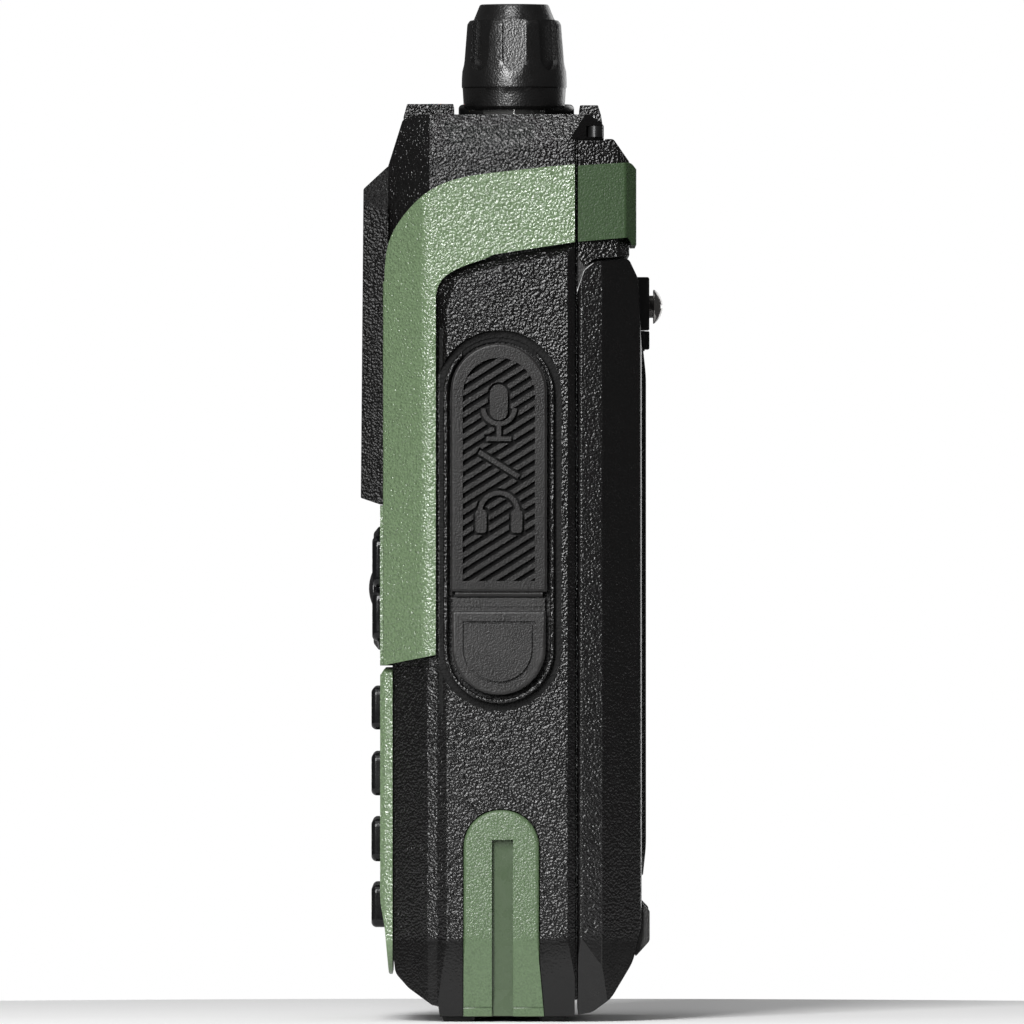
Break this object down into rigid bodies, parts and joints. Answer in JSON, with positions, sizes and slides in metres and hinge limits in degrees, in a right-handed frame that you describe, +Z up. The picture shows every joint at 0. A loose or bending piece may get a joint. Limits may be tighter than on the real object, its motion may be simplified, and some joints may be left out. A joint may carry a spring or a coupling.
{
  "type": "handheld two-way radio",
  "caption": "Handheld two-way radio with display, keypad, volume knob, hinged rubber jack cover, side talk button and slide-off battery.",
  "frame": {"origin": "middle of the radio on the plane its feet stand on", "axes": "+Z up, display and keys face -Y, battery faces +Y, jack cover on the +X side"},
  "size_m": [0.0614, 0.0414, 0.1397],
  "materials": {
    "black_housing": "fine leather grain",
    "black_battery": "fine leather grain",
    "green_trim": "fine leather grain",
    "black_rubber": "soft matte",
    "key_plastic": "satin black",
    "knob_plastic": "satin, lightly grained",
    "silicone": "matte",
    "clear_window": "clear",
    "display_glass": "smooth",
    "steel": "polished",
    "brass": "plated",
    "cast_aluminium": "cast",
    "circuit_board": "solder mask",
    "dark_moulding": "moulded",
    "cell_wrap": "heat-shrink film"
  },
  "bodies": {
    "radio": {"front_housing": "black_housing", "trim_frame": "green_trim", "rear_top_cover": "black_housing", "rear_trim_band": "green_trim", "display_bezel": "black_housing", "display_lens": "clear_window", "lcd_module": "display_glass", "speaker_grille_mesh": "steel", "speaker": "steel", "keypad_bezel": "green_trim", "keypad_mat": "silicone", "jack_cover_anchor": "black_rubber", "jack_sockets": "dark_moulding", "side_bumpers": "green_trim", "base_feet": "black_rubber", "rotary_switch_body": "dark_moulding", "knob_nut": "steel", "antenna_connector": "brass", "antenna_collar": "knob_plastic", "status_lamp": "clear_window", "lanyard_post": "steel", "microphone": "steel", "main_board": "circuit_board", "board_screws": "steel", "shield_can": "steel", "chassis_plate": "cast_aluminium", "case_screws": "steel", "radio_contacts": "brass"},
    "battery": {"battery_shell": "black_battery", "battery_cover_plate": "black_battery", "battery_cells": "cell_wrap", "battery_contacts": "brass", "battery_rest_pads": "black_rubber", "clip_mount_block": "black_housing", "clip_screws": "steel"},
    "latch": {"battery_latch": "black_housing"},
    "knob": {"volume_knob": "knob_plastic", "knob_shaft": "steel"},
    "jack_cover": {"jack_cover_flap": "black_rubber"},
    "nav_ring": {"nav_ring": "key_plastic"},
    "nav_ok": {"nav_ok_button": "key_plastic"},
    "key_1": {"key_1": "key_plastic"},
    "key_2": {"key_2": "key_plastic"},
    "key_3": {"key_3": "key_plastic"},
    "key_4": {"key_4": "key_plastic"},
    "key_5": {"key_5": "key_plastic"},
    "key_6": {"key_6": "key_plastic"},
    "key_7": {"key_7": "key_plastic"},
    "key_8": {"key_8": "key_plastic"},
    "key_9": {"key_9": "key_plastic"},
    "key_star": {"key_star": "key_plastic"},
    "key_0": {"key_0": "key_plastic"},
    "key_hash": {"key_hash": "key_plastic"},
    "function_key_upper_left": {"function_key_upper_left": "key_plastic"},
    "function_key_upper_right": {"function_key_upper_right": "key_plastic"},
    "function_key_lower_left": {"function_key_lower_left": "key_plastic"},
    "function_key_lower_right": {"function_key_lower_right": "key_plastic"},
    "ptt_button": {"ptt_button": "black_rubber"},
    "side_key_upper": {"side_key_upper": "black_rubber"},
    "side_key_lower": {"side_key_lower": "black_rubber"}
  },
  "joints": [
    {"name": "key_1_press", "type": "slide", "parent": "radio", "child": "key_1", "axis": [0, 1, 0], "range_m": [0, 0.0005], "stiffness_N_per_m": 900},
    {"name": "key_2_press", "type": "slide", "parent": "radio", "child": "key_2", "axis": [0, 1, 0], "range_m": [0, 0.0005], "stiffness_N_per_m": 900},
    {"name": "key_3_press", "type": "slide", "parent": "radio", "child": "key_3", "axis": [0, 1, 0], "range_m": [0, 0.0005], "stiffness_N_per_m": 900},
    {"name": "key_4_press", "type": "slide", "parent": "radio", "child": "key_4", "axis": [0, 1, 0], "range_m": [0, 0.0005], "stiffness_N_per_m": 900},
    {"name": "key_5_press", "type": "slide", "parent": "radio", "child": "key_5", "axis": [0, 1, 0], "range_m": [0, 0.0005], "stiffness_N_per_m": 900},
    {"name": "key_6_press", "type": "slide", "parent": "radio", "child": "key_6", "axis": [0, 1, 0], "range_m": [0, 0.0005], "stiffness_N_per_m": 900},
    {"name": "key_7_press", "type": "slide", "parent": "radio", "child": "key_7", "axis": [0, 1, 0], "range_m": [0, 0.0005], "stiffness_N_per_m": 900},
    {"name": "key_8_press", "type": "slide", "parent": "radio", "child": "key_8", "axis": [0, 1, 0], "range_m": [0, 0.0005], "stiffness_N_per_m": 900},
    {"name": "key_9_press", "type": "slide", "parent": "radio", "child": "key_9", "axis": [0, 1, 0], "range_m": [0, 0.0005], "stiffness_N_per_m": 900},
    {"name": "key_star_press", "type": "slide", "parent": "radio", "child": "key_star", "axis": [0, 1, 0], "range_m": [0, 0.0005], "stiffness_N_per_m": 900},
    {"name": "key_0_press", "type": "slide", "parent": "radio", "child": "key_0", "axis": [0, 1, 0], "range_m": [0, 0.0005], "stiffness_N_per_m": 900},
    {"name": "key_hash_press", "type": "slide", "parent": "radio", "child": "key_hash", "axis": [0, 1, 0], "range_m": [0, 0.0005], "stiffness_N_per_m": 900},
    {"name": "function_key_upper_left_press", "type": "slide", "parent": "radio", "child": "function_key_upper_left", "axis": [0, 1, 0], "range_m": [0, 0.0005], "stiffness_N_per_m": 900},
    {"name": "function_key_upper_right_press", "type": "slide", "parent": "radio", "child": "function_key_upper_right", "axis": [0, 1, 0], "range_m": [0, 0.0005], "stiffness_N_per_m": 900},
    {"name": "function_key_lower_left_press", "type": "slide", "parent": "radio", "child": "function_key_lower_left", "axis": [0, 1, 0], "range_m": [0, 0.0005], "stiffness_N_per_m": 900},
    {"name": "function_key_lower_right_press", "type": "slide", "parent": "radio", "child": "function_key_lower_right", "axis": [0, 1, 0], "range_m": [0, 0.0005], "stiffness_N_per_m": 900},
    {"name": "nav_ok_press", "type": "slide", "parent": "radio", "child": "nav_ok", "axis": [0, 1, 0], "range_m": [0, 0.0005], "stiffness_N_per_m": 900},
    {"name": "nav_ring_rock", "type": "hinge", "parent": "radio", "child": "nav_ring", "pos_m": [0, -0.017, 0.05935], "axis": [1, 0, 0], "range_deg": [-2.2, 2.2], "stiffness_Nm_per_rad": 0.05},
    {"name": "ptt_press", "type": "slide", "parent": "radio", "child": "ptt_button", "axis": [1, 0, 0], "range_m": [0, 0.0008], "stiffness_N_per_m": 1500},
    {"name": "side_key_upper_press", "type": "slide", "parent": "radio", "child": "side_key_upper", "axis": [1, 0, 0], "range_m": [0, 0.0006], "stiffness_N_per_m": 1200},
    {"name": "side_key_lower_press", "type": "slide", "parent": "radio", "child": "side_key_lower", "axis": [1, 0, 0], "range_m": [0, 0.0006], "stiffness_N_per_m": 1200},
    {"name": "knob_turn", "type": "hinge", "parent": "radio", "child": "knob", "pos_m": [0.015, 0.0003, 0.13], "axis": [0, 0, -1], "range_deg": [0, 300]},
    {"name": "jack_cover_hinge", "type": "hinge", "parent": "radio", "child": "jack_cover", "pos_m": [0.0296, -0.0018, 0.05865], "axis": [0, 1, 0], "range_deg": [0, 100]},
    {"name": "battery_slide", "type": "slide", "parent": "radio", "child": "battery", "axis": [0, 0, -1], "range_m": [0, 0.008]},
    {"name": "latch_slide", "type": "slide", "parent": "battery", "child": "latch", "axis": [0, 0, -1], "range_m": [0, 0.002], "stiffness_N_per_m": 400}
  ]
}
